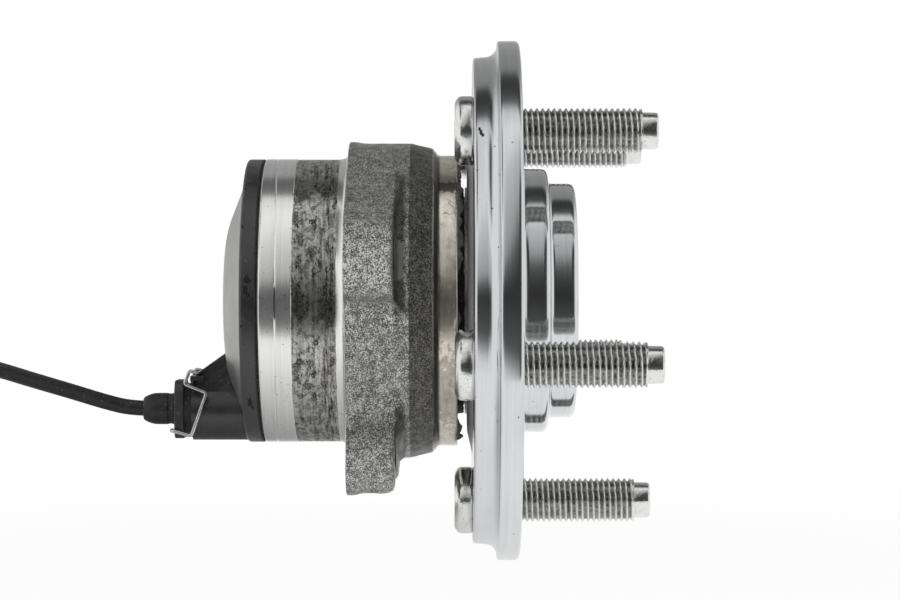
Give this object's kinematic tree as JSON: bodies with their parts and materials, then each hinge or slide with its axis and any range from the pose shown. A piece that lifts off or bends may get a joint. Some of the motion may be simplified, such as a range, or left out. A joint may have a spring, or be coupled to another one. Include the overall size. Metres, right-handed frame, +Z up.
{
  "type": "wheel hub bearing",
  "caption": "Flanged double-row wheel hub bearing unit with forged bolting lobes, wheel studs, end cap and a clipped speed sensor plug with its lead.",
  "frame": {"origin": "centre of the mounting face that meets the knuckle, on the hub axis", "axes": "+Y along the hub axis towards the wheel, +Z up, +X to the side from which the sensor plug is seen on the left"},
  "size_m": [0.14, 0.2892, 0.14],
  "materials": {
    "forged_steel": "shot-blasted forging with ground seats",
    "turned_steel": "bright turned steel",
    "bearing_steel": "ground bearing steel",
    "plated_steel": "bluish zinc plating",
    "ball_steel": "polished",
    "cage_polymer": "natural glass-filled polyamide",
    "pressed_steel": "pressed sheet steel",
    "seal_rubber": "moulded nitrile rubber",
    "magnet_rubber": "ferrite-filled rubber",
    "cap_steel": "satin pressed sheet",
    "black_plastic": "moulded black plastic, scuffed",
    "sensor_resin": "epoxy",
    "contact_brass": "tin-plated brass",
    "plug_plastic": "moulded black plastic",
    "boot_rubber": "soft moulded rubber",
    "spring_wire": "drawn stainless spring wire",
    "cable_jacket": "extruded jacket",
    "tie_plastic": "moulded nylon strap"
  },
  "bodies": {
    "housing": {"outer_ring": "forged_steel", "seal_case": "pressed_steel", "seal_lip": "seal_rubber", "cap_dome": "cap_steel", "cap_body": "black_plastic", "cap_gasket": "seal_rubber", "sensor_element": "sensor_resin", "socket_pins": "contact_brass", "plug_housing": "plug_plastic", "plug_terminals": "contact_brass", "plug_seal": "seal_rubber", "plug_boot": "boot_rubber", "sensor_cable": "cable_jacket", "cable_coil": "cable_jacket", "cable_tail": "cable_jacket", "coil_tie": "tie_plastic", "lead_connector": "plug_plastic", "connector_contacts": "contact_brass"},
    "rotor": {"hub_flange": "turned_steel", "inner_ring": "bearing_steel", "wheel_studs": "plated_steel", "seal_slinger": "pressed_steel", "encoder_carrier": "pressed_steel", "encoder_ring": "magnet_rubber"},
    "outboard_row": {"outboard_balls": "ball_steel", "outboard_cage": "cage_polymer"},
    "inboard_row": {"inboard_balls": "ball_steel", "inboard_cage": "cage_polymer"},
    "clip": {"wire_clip": "spring_wire"}
  },
  "joints": [
    {"name": "hub_spin", "type": "hinge", "parent": "housing", "child": "rotor", "pos_m": [0, 0.0045, 0], "axis": [0, 1, 0], "continuous": true},
    {"name": "outboard_row_roll", "type": "hinge", "parent": "housing", "child": "outboard_row", "pos_m": [0, 0.0175, 0], "axis": [0, 1, 0], "continuous": true},
    {"name": "inboard_row_roll", "type": "hinge", "parent": "housing", "child": "inboard_row", "pos_m": [0, -0.0085, 0], "axis": [0, 1, 0], "continuous": true},
    {"name": "clip_swing", "type": "hinge", "parent": "housing", "child": "clip", "pos_m": [0, -0.0404, -0.0194], "axis": [-1, 0, 0], "range_deg": [0, 95]}
  ],
  "couplings": [
    {"joint": "outboard_row_roll", "follows": "hub_spin", "ratio": 0.41774},
    {"joint": "inboard_row_roll", "follows": "hub_spin", "ratio": 0.41774}
  ]
}
